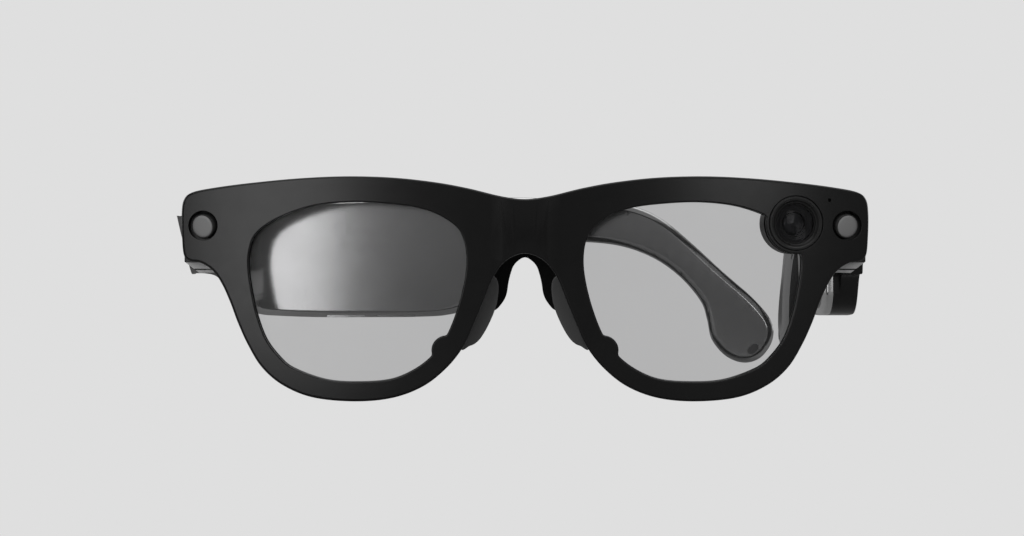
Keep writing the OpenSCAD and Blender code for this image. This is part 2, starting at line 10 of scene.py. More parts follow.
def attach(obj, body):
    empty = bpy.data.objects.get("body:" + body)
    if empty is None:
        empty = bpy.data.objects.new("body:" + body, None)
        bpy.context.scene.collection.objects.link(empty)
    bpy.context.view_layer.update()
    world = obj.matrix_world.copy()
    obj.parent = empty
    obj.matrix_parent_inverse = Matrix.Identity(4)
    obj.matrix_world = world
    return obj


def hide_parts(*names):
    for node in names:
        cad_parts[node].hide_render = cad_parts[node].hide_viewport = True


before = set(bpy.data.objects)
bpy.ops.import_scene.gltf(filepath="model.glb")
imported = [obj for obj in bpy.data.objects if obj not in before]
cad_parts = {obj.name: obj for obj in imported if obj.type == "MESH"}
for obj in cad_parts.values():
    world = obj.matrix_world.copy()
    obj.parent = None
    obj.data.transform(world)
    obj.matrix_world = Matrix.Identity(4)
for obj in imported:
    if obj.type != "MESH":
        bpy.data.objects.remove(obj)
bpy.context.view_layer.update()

MM = 0.001
ARCH_Z = 31.6  # heights are drawn from the lowest point of the rims, in millimetres
WRAP_R = 450.0  # radius of the front's wrap, seen from above
COVER_T, FRAME_D, LENS_T = 1.6, 4.8, 2.0  # thickness of the front cover, the whole frame and a lens
LENS_BACK = COVER_T + LENS_T
HINGE_X, HINGE_Y, FOLD = 67.5, 21.5, math.radians(94)
LEAF_Z = (28.65, 34.75)  # heights between which the hinge is let into the shells
WIDER = 147.8 / 146.8  # the outline of the front is drawn for a width of 146.8 mm
FINE_STEP, LENS_STEP, LONG_STEP = 0.3, 0.35, 0.5  # distances between the points of the smoothed lines

# Places on the front, as distance from the middle and height, and the sizes that belong to them
MAIN_CAM, RING_R, BORE_R, MAIN_LOBE = (58.1, 38.1), 5.86, 4.65, 6.6
TRACK_CAM, TRACK_R, TRACK_TILT = (69.2, 37.6), 3.15, (9, 12)  # tilted down and outwards, in degrees
TRACK_OFF = (0.35, -0.25)  # the grey window's middle from the middle of its hole
EYE_CAM, EYE_LOBE = (16.9, 11.0), 3.05
MIC, MIC_R = (65.3, 43.05), 0.4
LOBE_SOFT = 0.45  # where a lobe meets the lens opening, the corners are rounded over this distance

FRONT_HALF = [
    (0, 43.2), (5, 43.8), (12, 45.5), (19, 46.8), (28, 47.8), (38, 48.1), (48, 47.7), (58, 46.8),
    (66, 45.8), (71, 44.8), (72.9, 43.2), (73.4, 40), (73.3, 35), (72.9, 31.3), (71.6, 30), (69.2, 29.6),
    (66.6, 27.9), (64.7, 25.2), (62.9, 21.3), (61.2, 16.8), (59, 12), (56, 7.2), (51.5, 3.4), (45, 0.8),
    (36, 0), (28, 0.8), (21.5, 3.3), (16.5, 7.3), (13, 11.8), (11, 16.2), (9, 21), (6.6, 26.8),
    (3.8, 30.2), (0, 31.6),
]
LENS = [
    (12.5, 30), (13, 34.1), (14.6, 37.2), (18.6, 39.9), (23.5, 41.5), (30, 42.3), (37, 42.6), (44, 42),
    (49.6, 40.5), (54.8, 38.1), (58, 35.3), (59.2, 31.5), (59.2, 27.6), (58.5, 23), (57.5, 18.6),
    (55.6, 13.5), (52.8, 9.7), (49.6, 7.1), (42.8, 4.7), (36, 4.2), (28.7, 4.8), (23.2, 7.2), (19.2, 10.6),
    (16.5, 14.6), (14.4, 20), (13, 25.5),
]
# Side outline of a temple: distance behind the hinge axis, and height
TEMPLE = [
    (-9.1, 40), (-4, 40.6), (6, 42.2), (18, 43.6), (35, 44.2), (55, 44.1), (72, 43.8), (84, 43.2),
    (92, 41.8), (98, 38.9), (104, 34), (110.5, 28), (117.5, 21.8), (121.3, 17), (121.6, 12.8), (119, 9),
    (115.3, 7.9), (111.4, 9.4), (108.4, 13), (107.4, 17.3), (106, 21.3), (101.5, 26.6), (95.5, 30.8),
    (88, 33.4), (79, 34.2), (72, 33.4), (66, 32), (62.5, 29.5), (59.5, 24.6), (56, 20.2), (51, 18.3),
    (44, 17.8), (33, 17.7), (22, 17.7), (13, 18), (9, 18.4), (5.5, 19.8), (3, 22), (1, 24.6), (-1, 26.7),
    (-3.5, 27.3), (-6, 27.4), (-6.8, 28.2), (-9.6, 39.2),
]
# Faces of a temple: distance behind the hinge axis, and distance outside it
OUTER_X, INNER_X = 6.2, -1.5
OUTER = [
    (-12, OUTER_X), (15, OUTER_X), (32, 6.1), (46, 5.8), (60, 5.1), (73, 4.2), (88, 3.6), (106, 3.5),
    (124, 3.5),
]
INNER = [(-12, INNER_X), (56, INNER_X), (68, -1.2), (78, -1.0), (124, -0.9)]
HOLLOW = [
    (10, 40), (14, 41.6), (30, 42.4), (58, 42.2), (60.6, 39), (60.6, 34), (58.6, 27.5), (54.5, 22),
    (50, 20.4), (22, 20.4), (15, 22), (10.6, 26),
]
SPLIT = 0.8  # the shells meet this far outside the hinge axis


# ---------------------------------------------------------------- outlines

def curve(a, b, c, d, t):
    """Point at t of the smooth curve between b and c, which are between a and d."""
    return tuple(
        q + 0.5 * t * (r - p) + 0.5 * t * t * (2 * p - 5 * q + 4 * r - s)
        + 0.5 * t**3 * (3 * q - p - 3 * r + s)
        for p, q, r, s in zip(a, b, c, d)
    )


def closed_line(p, n):
    """Smooth closed line through the points p, with n points for each stretch."""
    k = len(p)
    return [curve(p[i - 1], p[i], p[(i + 1) % k], p[(i + 2) % k], j / n) for i in range(k) for j in range(n)]


def spaced(p, step):
    """The closed line p with its points about step apart."""
    k = len(p)
    lengths = [math.dist(p[i], p[(i + 1) % k]) for i in range(k)]
    total = sum(lengths)
    n = max(8, round(total / step))
    out, i, done = [], 0, 0.0
    for j in range(n):
        want = total * j / n
        while done + lengths[i] < want:
            done += lengths[i]
            i += 1
        t = (want - done) / lengths[i]
        a, b = p[i], p[(i + 1) % k]
        out.append((a[0] + t * (b[0] - a[0]), a[1] + t * (b[1] - a[1])))
    return out


def grown(p, d):
    """The closed clockwise line p, moved outwards by d."""
    out, k = [], len(p)
    for i in range(k):
        a, b, c = Vector(p[i - 1]), Vector(p[i]), Vector(p[(i + 1) % k])
        u, v = (b - a).normalized(), (c - b).normalized()
        m = Vector((-u.y - v.y, u.x + v.x))
        if m.length < 1e-6:
            m = Vector((-u.y, u.x))
        m.normalize()
        reach = d / max(0.62, m.dot(Vector((-u.y, u.x))))
        out.append(tuple(b + m * reach))
    return out


def mirrored(p):
    return [(-x, z) for x, z in reversed(p)]


def averaged(p, reach):
    """The closed line p with each point moved to the mean of its neighbours, up to reach on each side."""
    k, near = len(p), range(-reach, reach + 1)
    return [tuple(sum(p[(i + j) % k][c] for j in near) / len(near) for c in (0, 1)) for i in range(k)]


def circle(centre, r, n=64):
    """Clockwise circle of n points."""
    angles = [2 * math.pi * i / n for i in range(n)]
    return [(centre[0] + r * math.sin(a), centre[1] + r * math.cos(a)) for a in angles]


def spot(centre, r, a):
    return centre[0] + r * math.cos(a), centre[1] + r * math.sin(a)


def inside(p, q):
    """Whether the point q lies inside the closed line p."""
    hit = False
    for i in range(len(p)):
        (x0, z0), (x1, z1) = p[i - 1], p[i]
        if (z0 > q[1]) != (z1 > q[1]) and q[0] < (x1 - x0) * (q[1] - z0) / (z1 - z0) + x0:
            hit = not hit
    return hit


def bitten(p, centre, r, soften):
    """The clockwise opening p less a disc that crosses its edge, with the two corners rounded."""
    far = [math.dist(q, centre) > r for q in p]
    k = len(p)
    start = next(i for i in range(k) if far[i] and not far[i - 1])
    kept = [p[(start + i) % k] for i in range(k) if far[(start + i) % k]]

    def crossing(a, b):
        for _ in range(30):
            m = ((a[0] + b[0]) / 2, (a[1] + b[1]) / 2)
            a, b = (m, b) if math.dist(m, centre) > r else (a, m)
        return a

    e0 = crossing(kept[-1], p[(start + len(kept)) % k])
    e1 = crossing(kept[0], p[start - 1])
    a0 = math.atan2(e0[1] - centre[1], e0[0] - centre[0])
    a1 = math.atan2(e1[1] - centre[1], e1[0] - centre[0])
    for turn in (0, 2 * math.pi, -2 * math.pi):
        sweep = a1 + turn - a0
        if abs(sweep) < 2 * math.pi and inside(p, spot(centre, r, a0 + sweep / 2)):
            break
    n = max(6, int(abs(sweep) * r / LENS_STEP))
    arc = [spot(centre, r, a0 + sweep * i / n) for i in range(n + 1)]
    line = spaced(kept + arc, FINE_STEP)
    for corner in (e0, e1):
        line = eased(line, corner, soften)
    return line


def eased(p, corner, reach):
    """The closed line p with the corner near that point replaced by a curve."""
    near = [math.dist(q, corner) < reach for q in p]
    k = len(p)
    start = next(i for i in range(k) if not near[i] and near[i - 1])
    kept = [p[(start + i) % k] for i in range(k) if not near[(start + i) % k]]
    a, c, n = kept[-1], kept[0], 6
    for i in range(1, n):
        t = i / n
        spans = zip(a, corner, c)
        kept.append(tuple((1 - t) ** 2 * u + 2 * t * (1 - t) * v + t * t * w for u, v, w in spans))
    return kept


def along(table, r):
    """Value at r of a table of (r, value), along straight lines between its rows."""
    if r <= table[0][0]:
        return table[0][1]
    for (r0, v0), (r1, v1) in zip(table, table[1:]):
        if r <= r1:
            t = (r - r0) / (r1 - r0)
            return v0 + (v1 - v0) * t
    return table[-1][1]


# ---------------------------------------------------------------- places

def sag(x):
    return WRAP_R - math.sqrt(WRAP_R * WRAP_R - x * x)


def rise(x):
    """How far the bridge stands in front of the rims."""
    t = min(1.0, max(0.0, (7.6 - abs(x)) / 4.6))
    return 0.3 * t * t * (3 - 2 * t)


def on_front(v):
    """(x, height, depth behind the wrapped front) to the row frame."""
    return Vector((v[0], sag(v[0]) + v[2], v[1] - ARCH_Z)) * MM


def on_cover(v):
    """As on_front, with the bridge raised at the front surface."""
    lift = rise(v[0]) * max(0.0, 1 - v[2] / COVER_T)
    return Vector((v[0], sag(v[0]) + v[2] - lift, v[1] - ARCH_Z)) * MM


def on_left(px, r, z):
    """(distance outside the hinge axis, distance behind it, height) on the open left temple."""
    return Vector((HINGE_X + px, HINGE_Y + r, z - ARCH_Z)) * MM


def on_right(px, r, z):
    """The same place on the right temple, which is mirrored and folded in."""
    c, s = math.cos(-FOLD), math.sin(-FOLD)
    return Vector((-HINGE_X - c * px - s * r, HINGE_Y - s * px + c * r, z - ARCH_Z)) * MM


def on_temple(v):
    """(distance behind the hinge, height, nominal distance outside it) on the open left temple."""
    r, z, p = v
    if p <= SPLIT:
        reach, nominal = SPLIT - along(INNER, r), SPLIT - INNER_X
    else:
        reach, nominal = along(OUTER, r) - SPLIT, OUTER_X - SPLIT
    return on_left(SPLIT + (p - SPLIT) * reach / nominal, r, z)


def into(x, z, tilt_down=0.0, tilt_out=0.0):
    """Matrix, in millimetres, whose +Z points back into the frame from a point on the front surface."""
    side = 1 if x > 0 else -1
    m = Matrix.Translation((x, sag(x), z - ARCH_Z)) @ Matrix.Rotation(math.asin(x / WRAP_R), 4, "Z")
    m = m @ Matrix.Rotation(-math.pi / 2, 4, "X") @ Matrix.Rotation(math.radians(tilt_down), 4, "X")
    return m @ Matrix.Rotation(-side * math.radians(tilt_out), 4, "Y")


# ---------------------------------------------------------------- meshes

def scratch(name, bm):
    bmesh.ops.recalc_face_normals(bm, faces=bm.faces)
    mesh = bpy.data.meshes.new(name)
    bm.to_mesh(mesh)
    bm.free()
    o = bpy.data.objects.new(name, mesh)
    bpy.context.scene.collection.objects.link(o)
    return o


def smoothed(o, sharp=38, weighted=True):
    """Smooth shading, with edges sharper than that angle kept."""
    for f in o.data.polygons:
        f.use_smooth = True
    o.data.set_sharp_from_angle(angle=math.radians(sharp))
    if weighted:
        m = o.modifiers.new("normals", "WEIGHTED_NORMAL")
        m.keep_sharp = True
        m.weight = 60
    return o


def made(name, bm, sharp=38, weighted=True):
    bmesh.ops.remove_doubles(bm, verts=bm.verts, dist=1e-7)
    return smoothed(scratch(name, bm), sharp, weighted)


def wall(bm, rings):
    """Joins closed rings of points, each with the next, and returns their vertices."""
    rows = [[bm.verts.new(v) for v in ring] for ring in rings]
    n = len(rows[0])
    for a, b in zip(rows, rows[1:]):
        for i in range(n):
            j = (i + 1) % n
            bm.faces.new((a[i], a[j], b[j], b[i]))
    return rows


def rounded(front, back, r_front, r_back, steps=5):
    """Profile of an edge as (inset, depth) pairs from the front face to the back face."""
    out = []
    for i in range(steps + 1):
        a = math.pi / 2 * i / steps
        out.append((r_front * (1 - math.sin(a)), front + r_front * (1 - math.cos(a))))
    for i in range(steps + 1):
        a = math.pi / 2 * i / steps
        out.append((r_back * (1 - math.cos(a)), back - r_back * (1 - math.sin(a))))
    return out


def sliced(bm, point, normal, within, **options):
    """Adds the edges where the plane crosses the mesh."""
    geom = bm.verts[:] + bm.edges[:] + bm.faces[:]
    return bmesh.ops.bisect_plane(bm, geom=geom, dist=within, plane_co=point, plane_no=normal, **options)


def plate_mesh(outline, profile, holes=(), cuts=(), place=None):
    """Closed solid of that outline and holes, each (line, profile), with edges added at the cuts."""
    bm = bmesh.new()
    loops = [[[(a, b, d) for a, b in grown(outline, -inset)] for inset, d in profile]]
    for line, edge in holes:
        loops.append([[(a, b, d) for a, b in grown(line, inset)] for inset, d in edge])
    ends = ([], [])
    for rings in loops:
        rows = wall(bm, rings)
        ends[0].append(rows[0])
        ends[1].append(rows[-1])
    for rows in ends:
        edges = [bm.edges.get((row[i - 1], row[i])) for row in rows for i in range(len(row))]
        bmesh.ops.triangle_fill(bm, use_beauty=True, use_dissolve=False, edges=edges)
    for c in cuts:
        sliced(bm, (c, 0, 0), (1, 0, 0), 1e-5)
    if place:
        for v in bm.verts:
            v.co = place(v.co)
    return bm


def lathed(name, profile, matrix, segments=64, sharp=38):
    """Closed solid turned about local +Z. The profile is a loop of (radius, depth) pairs."""
    bm = bmesh.new()
    rows = []
    angles = [2 * math.pi * i / segments for i in range(segments)]
    for r, z in profile:
        if r < 1e-6:
            rows.append([bm.verts.new(matrix @ Vector((0, 0, z)) * MM)])
        else:
            ring = [Vector((r * math.cos(a), r * math.sin(a), z)) for a in angles]
            rows.append([bm.verts.new(matrix @ v * MM) for v in ring])
    loop = rows if len(rows[0]) == 1 else rows + [rows[0]]
    for a, b in zip(loop, loop[1:]):
        for i in range(segments):
            j = (i + 1) % segments
            if len(a) == 1 and len(b) > 1:
                bm.faces.new((a[0], b[j], b[i]))
            elif len(b) == 1 and len(a) > 1:
                bm.faces.new((a[i], a[j], b[0]))
            elif len(a) > 1 and len(b) > 1:
                bm.faces.new((a[i], a[j], b[j], b[i]))
    return made(name, bm, sharp=sharp, weighted=False)


def rod(r, start, end):
    """Profile of a plain cylinder, for lathed and turned."""
    return [(0, start), (r, start), (r, end), (0, end)]


def turned(profile, matrix, segments=48):
    """Scratch solid for a boolean, turned about local +Z."""
    return lathed("part", profile, matrix, segments)


def boxed(lo, hi):
    bm = bmesh.new()
    bmesh.ops.create_cube(bm, size=1)
    lo, hi = Vector(lo), Vector(hi)
    for v in bm.verts:
        v.co = Vector((lo[i] + (v.co[i] + 0.5) * (hi[i] - lo[i]) for i in range(3)))
    return bm


def combined(target, cutters, operation):
    """Applies booleans with the scratch objects, which are then removed."""
    for c in cutters:
        m = target.modifiers.new("cut", "BOOLEAN")
        m.operation, m.object, m.solver = operation, c, "EXACT"
        graph = bpy.context.evaluated_depsgraph_get()
        mesh = bpy.data.meshes.new_from_object(target.evaluated_get(graph))
        target.modifiers.clear()
        old = target.data
        target.data = mesh
        bpy.data.meshes.remove(old)
        mesh_c = c.data
        bpy.data.objects.remove(c)
        bpy.data.meshes.remove(mesh_c)
    return target


# ---------------------------------------------------------------- finishes

def procedural(name):
    """New material, with its nodes, its links and the object's own coordinates."""
    mat = bpy.data.materials.new(name)
    mat.use_nodes = True
    nodes, links = mat.node_tree.nodes, mat.node_tree.links
    return mat, nodes, links, nodes.new("ShaderNodeTexCoord").outputs["Object"]


def noise(nodes, links, coord, scale, detail=3.0):
    n = nodes.new("ShaderNodeTexNoise")
    n.inputs["Scale"].default_value = scale
    n.inputs["Detail"].default_value = detail
    n.inputs["Roughness"].default_value = 0.55
    links.new(coord, n.inputs["Vector"])
    return n.outputs["Fac"]


def ramp(nodes, links, factor, dark, light):
    """Colour from dark to light over the middle of a noise's range."""
    n = nodes.new("ShaderNodeValToRGB")
    for element, position, colour in zip(n.color_ramp.elements, (0.3, 0.7), (dark, light)):
        element.position, element.color = position, (*colour, 1)
    links.new(factor, n.inputs["Fac"])
    return n.outputs["Color"]


def mapped(nodes, links, factor, low, high, start=0.0, end=1.0):
    """Value from low to high as the factor goes from start to end."""
    n = nodes.new("ShaderNodeMapRange")
    for key, value in (("From Min", start), ("From Max", end), ("To Min", low), ("To Max", high)):
        n.inputs[key].default_value = value
    links.new(factor, n.inputs["Value"])
    return n.outputs["Result"]


def mixed(nodes, links, factor, first, second, surface):
    """Leads a mix of two shaders to the surface."""
    n = nodes.new("ShaderNodeMixShader")
    links.new(factor, n.inputs["Fac"])
    links.new(first, n.inputs[1])
    links.new(second, n.inputs[2])
    links.new(n.outputs[0], surface)


def finish(name, colour, rough, vary=0.12, rough_vary=0.05, grain=2200.0, bump=0.00001, metallic=0.0,
           level=0.5, cloud=90.0):
    """Procedural finish: a colour that drifts a little, roughness that varies, and a fine surface grain."""
    mat, nodes, links, coord = procedural(name)
    b = nodes["Principled BSDF"]
    colour = colour if isinstance(colour, tuple) else (colour,) * 3
    dark, light = tuple(c * (1 - vary) for c in colour), tuple(min(1, c * (1 + vary)) for c in colour)
    drift = noise(nodes, links, coord, cloud)
    links.new(ramp(nodes, links, drift, dark, light), b.inputs["Base Color"])
    worn = noise(nodes, links, coord, cloud * 4.3, 5)
    low, high = max(0, rough - rough_vary), min(1, rough + rough_vary)
    links.new(mapped(nodes, links, worn, low, high, 0.25, 0.75), b.inputs["Roughness"])
    n = nodes.new("ShaderNodeBump")
    n.inputs["Strength"].default_value = 0.35
    n.inputs["Distance"].default_value = bump
    links.new(noise(nodes, links, coord, grain, 2), n.inputs["Height"])
    links.new(n.outputs["Normal"], b.inputs["Normal"])
    b.inputs["Metallic"].default_value = metallic
    b.inputs["Specular IOR Level"].default_value = level
    return mat


def clear(name, tint, mirror, rough, edge=0.5):
    """Glass that is seen through: the tint dims the light, and the surface reflects a little."""
    mat, nodes, links, coord = procedural(name)
    nodes.remove(nodes["Principled BSDF"])
    film = nodes.new("ShaderNodeBsdfTransparent")
    drift = noise(nodes, links, coord, 40, 2)
    links.new(ramp(nodes, links, drift, tuple(c * 0.992 for c in tint), tint), film.inputs["Color"])
    gloss = nodes.new("ShaderNodeBsdfGlossy")
    worn = noise(nodes, links, coord, 300, 4)
    links.new(mapped(nodes, links, worn, rough, rough * 2.5), gloss.inputs["Roughness"])
    power = nodes.new("ShaderNodeMath")
    power.operation = "POWER"
    power.inputs[1].default_value = 5
    links.new(nodes.new("ShaderNodeLayerWeight").outputs["Facing"], power.inputs[0])
    facing = mapped(nodes, links, power.outputs[0], mirror, edge)
    mixed(nodes, links, facing, film.outputs[0], gloss.outputs[0], nodes["Material Output"].inputs["Surface"])
    return mat


SATIN = finish("satin_black", 0.004, 0.22, vary=0.2, rough_vary=0.015, bump=0.0000003)
INSIDE = finish("satin_inside", 0.006, 0.3, vary=0.15, rough_vary=0.02, bump=0.000003)
TEMPLE_IN = finish("temple_inner", 0.84, 0.13, vary=0.03, rough_vary=0.01, bump=0.00000004, metallic=1.0)
# Near-white colour for the lower edge of the end pieces: painted light, standing in for the brightness their
# forward and downward faces catch
LOWER_EDGE_PAINTED_LIGHT = finish("end_lower_edge_painted_light", 0.8, 0.35, vary=0.06, bump=0.0000005)
PAD = finish("pad_gloss", 0.13, 0.25, vary=0.05, rough_vary=0.03, bump=0.0000005)
SOFT = finish("pad_soft", 0.006, 0.75, vary=0.2, bump=0.00002, level=0.2, grain=1500)
CAM_BLACK = finish("camera_black", 0.012, 0.3, vary=0.2, bump=0.0000005)
CAM_DARK = finish("camera_dark", 0.07, 0.5, vary=0.2, level=0.3, bump=0.0000005)
WINDOW = finish("window_grey", 0.42, 0.35, vary=0.05, bump=0.0000005)
COATED = finish("lens_coated", (0.08, 0.081, 0.084), 0.16, vary=0.2, rough_vary=0.02, bump=0.0000001)
STEEL = finish("steel", 0.55, 0.3, metallic=1.0, vary=0.08, grain=3500)
CONTACT = finish("contact", 0.2, 0.3, vary=0.06, level=0.6)
BOARD = finish("board", (0.02, 0.1, 0.05), 0.4, vary=0.3, cloud=500)
FLEX = finish("flex", (0.42, 0.16, 0.04), 0.35, vary=0.15)
CELL = finish("cell_foil", 0.62, 0.28, metallic=0.9, vary=0.06, cloud=200, bump=0.00003, grain=400)
SPEAKER = finish("speaker_body", 0.03, 0.5, vary=0.2)
MESH = finish("mesh", 0.1, 0.4, metallic=0.8, vary=0.3, grain=6000, bump=0.00005)
CONTROL = finish("control", 0.016, 0.38, vary=0.2)
LENS_MAT = clear("lens_glass", (0.8, 0.8, 0.802), 0.03, 0.2)
CAM_GLASS = clear("camera_glass", (0.75, 0.75, 0.76), 0.012, 0.01)


def piece(o, material, body, nodes):
    o.data.materials.clear()
    o.data.materials.append(material)
    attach(o, body)
    if nodes:
        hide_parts(*nodes)
    return o


# ---------------------------------------------------------------- front frame

STEPS_X = [x * 2.5 for x in range(-30, 31)]  # the plates are cut here, so that they can wrap
whole_front = [(x * WIDER, z) for x, z in FRONT_HALF + mirrored(FRONT_HALF[1:-1])]
front_line = spaced(closed_line(whole_front, 8), LONG_STEP)
lens_line = spaced(closed_line(LENS, 8), LENS_STEP)
eye_opening = bitten(lens_line, EYE_CAM, EYE_LOBE, LOBE_SOFT)
left_opening = bitten(eye_opening, MAIN_CAM, MAIN_LOBE, LOBE_SOFT)
right_opening = mirrored(eye_opening)
opening_edge = rounded(0, COVER_T, 0.3, 0.05, 4)


def wrap_normals(o, within=0.002):
    """Gives every corner on the cover's two wrapped faces the exact normal of the wrap."""
    mesh = o.data
    normals = [c.vector.copy() for c in mesh.corner_normals]
    for i, corner in enumerate(mesh.loops):
        x, y, _ = mesh.vertices[corner.vertex_index].co / MM
        depth = WRAP_R - math.hypot(x, y - WRAP_R)
        out = Vector((x, y - WRAP_R, 0)).normalized()
        if abs(depth) < within:
            normals[i] = out
        elif abs(depth - COVER_T) < within:
            normals[i] = -out
    mesh.normals_split_custom_set(normals)


cover = made("cover", plate_mesh(
    front_line,
    rounded(0, COVER_T, 0.55, 0.12, 5),
    [
        (left_opening, opening_edge),
        (right_opening, opening_edge),
        (circle(MAIN_CAM, RING_R), rounded(0, COVER_T, 0.14, 0.02, 2)),
        (circle(TRACK_CAM, TRACK_R), rounded(0, COVER_T, 0.12, 0.02, 2)),
        (circle((-TRACK_CAM[0], TRACK_CAM[1]), TRACK_R), rounded(0, COVER_T, 0.12, 0.02, 2)),
        (circle(MIC, MIC_R, 24), rounded(0, COVER_T, 0.05, 0.01, 2)),
    ],
    STEPS_X, on_cover,
), weighted=False)
wrap_normals(cover)
piece(cover, SATIN, "front", ["front_cover"])

# The rear half of the front, with the groove that holds each lens
groove = [(1.05, COVER_T + 0.02), (1.05, LENS_BACK + 0.06), (0, LENS_BACK + 0.06)]
rear_edge = groove + [q for q in rounded(LENS_BACK + 0.1, FRAME_D, 0, 0.55, 5) if q[1] > LENS_BACK + 0.12]
rear = scratch("rear_half", plate_mesh(
    grown(front_line, -0.2),
    [(0, COVER_T + 0.02)] + rounded(COVER_T + 0.04, FRAME_D, 0.12, 0.9, 5)[1:],
    [(left_opening, rear_edge), (right_opening, rear_edge)],
    STEPS_X, on_front,
))


SEAMS = (28.05, 28.35, 29.7)  # heights of the dark seam, and of the top of the lower edge that gets painted light
INNER_BLOCK = [(8.4, 40.2), (16.3, 40.2), (17.5, 39), (17.5, 28), (16.9, 27.5), (8.4, 27.5)]
OUTER_BLOCK = [(8.4, 40.25), (10.85, 40.25), (11.3, 39.6), (14.15, 27.9), (13.85, 27.45), (8.4, 27.45)]
CHAMFER_AT, CHAMFER_TILT = (70.9, 27.9), (0.607, -0.794)  # on the lower outer corner of each end piece


def end_piece(sign):
    """The block that the hinge bolts to, drawn as two outlines in depth and height."""
    parts = []
    for line, start, end in ((INNER_BLOCK, 61.5, 69.3), (OUTER_BLOCK, 68.7, 73.55)):
        bm = plate_mesh(
            spaced(line, 0.4), rounded(start, end, 0.5, 0.5, 4),
            place=lambda v: Vector((sign * v[2], v[0], v[1] - ARCH_Z)) * MM)
        for z in SEAMS:
            sliced(bm, (0, 0, (z - ARCH_Z) * MM), (0, 0, 1), 1e-7)
        corner = sliced(
            bm, (sign * CHAMFER_AT[0] * MM, 0, (CHAMFER_AT[1] - ARCH_Z) * MM),
            (sign * CHAMFER_TILT[0], 0, CHAMFER_TILT[1]), 1e-7, clear_outer=True)
        edges = [e for e in corner["geom_cut"] if isinstance(e, bmesh.types.BMEdge)]
        if edges:
            bmesh.ops.triangle_fill(bm, use_beauty=True, edges=edges)
        parts.append(scratch("part", bm))
    return parts


boss = turned([(0, 2.2), (6.6, 2.2), (6.6, 6.7), (6.3, 7.0), (0, 7.0)], into(*MAIN_CAM))
combined(rear, end_piece(1) + end_piece(-1) + [boss], "UNION")

KNUCKLE_HALF, KNUCKLE_Y = 1.35, (12.35, 30)  # half the width of the hinge's notch, and its depth
BRACKET_AT, BRACKET_Z, BRACKET_SCREWS = (61, 14.8), 28.7, (1.2, 4.8)
screw_hole = [(0, 0), (1.05, 0), (1.05, 1.05), (0.52, 1.05), (0.52, 6), (0, 6)]
cutters = [turned(rod(BORE_R, -1, 9), into(*MAIN_CAM)), turned(rod(RING_R, -1, 2.3), into(*MAIN_CAM))]
for s in (1, -1):
    cutters.append(turned(rod(TRACK_R, -3, 5), into(s * TRACK_CAM[0], TRACK_CAM[1], *TRACK_TILT)))
    low = Vector((s * HINGE_X - KNUCKLE_HALF, KNUCKLE_Y[0], LEAF_Z[0] - ARCH_Z))
    high = Vector((s * HINGE_X + KNUCKLE_HALF, KNUCKLE_Y[1], LEAF_Z[1] - ARCH_Z))
    cutters.append(scratch("slot", boxed(low * MM, high * MM)))
    for z in BRACKET_SCREWS:
        m = Matrix.Translation((s * BRACKET_AT[0], BRACKET_AT[1], BRACKET_Z + z - ARCH_Z))
        cutters.append(turned(screw_hole, m @ Matrix.Rotation(s * math.pi / 2, 4, "Y"), 24))
combined(rear, cutters, "DIFFERENCE")
smoothed(rear)
piece(rear, INSIDE, "front", ["rear_frame"])

# The lower edge of the end pieces, with its dark seam left dark: the faces that look forwards or down are
# painted near-white, painted light for the brightness those faces catch
rear.data.materials.append(LOWER_EDGE_PAINTED_LIGHT)
for f in rear.data.polygons:
    x, y, z = f.center / MM
    low = z + ARCH_Z < SEAMS[0] or SEAMS[1] < z + ARCH_Z < SEAMS[2]
    if abs(x) > 61 and y > 7 and low and (f.normal.y < -0.3 or f.normal.z < -0.5):
        f.material_index = 1

# Lenses
lens_edge = [(0.25, COVER_T + 0.01), (0, COVER_T + 0.3), (0, COVER_T + 1.7), (0.25, LENS_BACK)]
for name, line in (("left", left_opening), ("right", right_opening)):
    bm = plate_mesh(grown(line, 0.95), lens_edge, cuts=STEPS_X, place=on_front)
    glass = made("glass_" + name, bm, sharp=25)
    piece(glass, LENS_MAT, "front", ["lens_" + name])

# ---------------------------------------------------------------- cameras

axis = into(*MAIN_CAM)
bezel = lathed("camera_ring", [
    (5.8, 2.2), (5.8, 0.12), (5.68, 0.0), (5.3, 0.0), (5.18, 0.1), (5.1, 0.16), (4.98, 0.16), (4.9, 0.3),
    (4.55, 0.62), (4.45, 0.62), (4.38, 0.75), (4.2, 0.95), (4.1, 0.98), (4.1, 2.2)], axis, 96, 30)
piece(bezel, CAM_BLACK, "front", ["main_camera_bezel"])
window_line = [(0, 1.0), (3.9, 1.0), (4.08, 1.08), (4.08, 1.75), (3.95, 1.8), (0, 1.8)]
glass = lathed("camera_window", window_line, axis, 96)
piece(glass, CAM_GLASS, "front", ["main_camera_glass"])
barrel = lathed("camera_barrel", [
    (4.6, 8.0), (4.6, 2.25), (3.5, 2.25), (3.42, 2.35), (3.0, 2.45), (2.9, 2.38), (2.7, 2.38), (2.6, 2.5),
    (2.6, 5.2), (1.4, 5.2), (1.4, 6.7), (0, 6.7), (0, 8.0)], axis, 72, 30)
piece(barrel, CAM_DARK, "front", ["main_camera_barrel"])
DOME_R, DOME_TOP, DOME_H = 2.55, 2.62, 1.1
quarter = [i * math.pi / 2 / 10 for i in range(11)]
dome = [(DOME_R * math.sin(a), DOME_TOP + DOME_H * (1 - math.cos(a))) for a in quarter]
lens = lathed("camera_lens", dome + [(DOME_R, 4.3), (0, 4.3)], axis, 72)
piece(lens, COATED, "front", ["main_camera_lens"])

